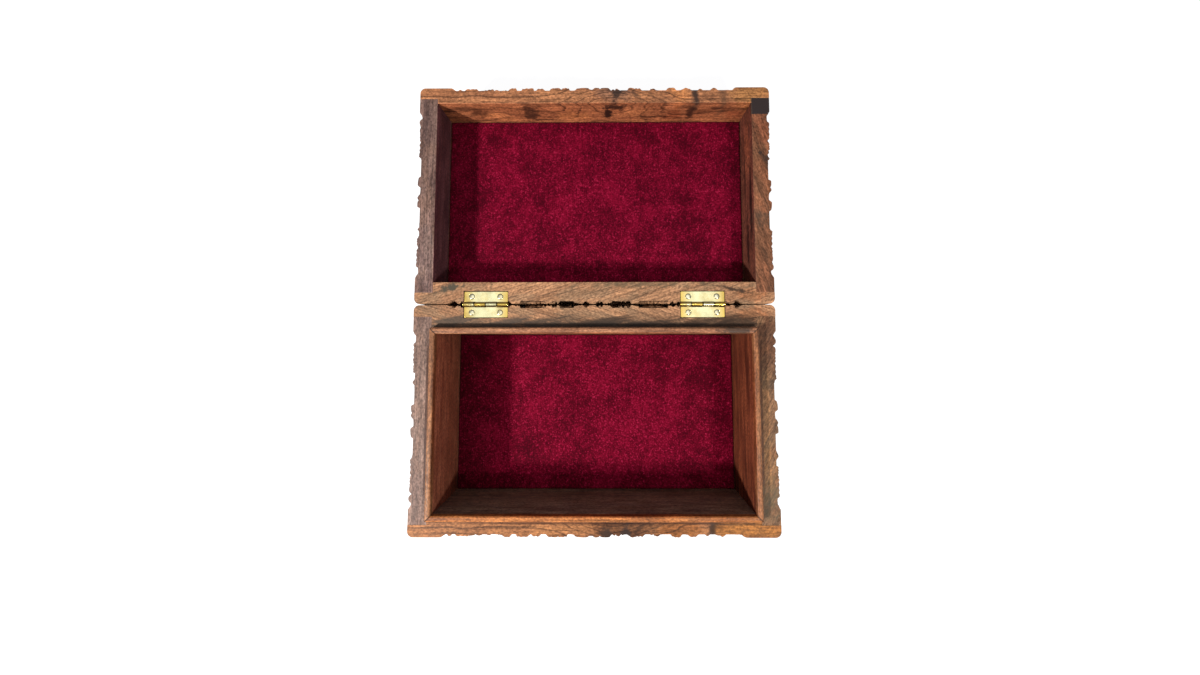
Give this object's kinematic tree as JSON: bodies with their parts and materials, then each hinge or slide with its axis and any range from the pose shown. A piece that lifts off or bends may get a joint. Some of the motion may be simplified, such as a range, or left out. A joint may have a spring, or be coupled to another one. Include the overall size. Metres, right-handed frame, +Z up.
{
  "type": "hinged carved wooden box",
  "caption": "Rectangular carved wooden box with a velvet-lined tray, a rounded locating lip and a lid on brass butt hinges that lays back flat.",
  "frame": {"origin": "centre of the box's underside, on the surface that it stands on", "axes": "+Z up, +X along the box's length, -Y towards the front, +Y towards the hinges and the laid-back lid"},
  "size_m": [0.2032, 0.2534, 0.0502],
  "materials": {
    "carved_wood": "hand-rubbed oil, carved outside",
    "liner_wood": "smooth, waxed",
    "velvet": "short crimson pile",
    "brass": "polished, lightly scratched",
    "steel_pins": "plain wire"
  },
  "bodies": {
    "box": {"box_front_wall": "carved_wood", "box_back_wall": "carved_wood", "box_left_wall": "carved_wood", "box_right_wall": "carved_wood", "box_bottom_panel": "carved_wood", "bottom_panel_pins": "steel_pins", "box_front_liner": "liner_wood", "box_back_liner": "liner_wood", "box_left_liner": "liner_wood", "box_right_liner": "liner_wood", "box_velvet": "velvet", "left_hinge_box_leaf": "brass", "right_hinge_box_leaf": "brass", "left_hinge_pin": "brass", "right_hinge_pin": "brass", "box_hinge_nails": "brass"},
    "lid": {"lid_front_wall": "carved_wood", "lid_back_wall": "carved_wood", "lid_left_wall": "carved_wood", "lid_right_wall": "carved_wood", "lid_top_panel": "carved_wood", "lid_velvet": "velvet", "left_hinge_lid_leaf": "brass", "right_hinge_lid_leaf": "brass", "lid_hinge_nails": "brass"}
  },
  "joints": [
    {"name": "lid_hinge", "type": "hinge", "parent": "box", "child": "lid", "pos_m": [0, 0.0635, 0.0453], "axis": [1, 0, 0], "range_deg": [0, 180]}
  ]
}
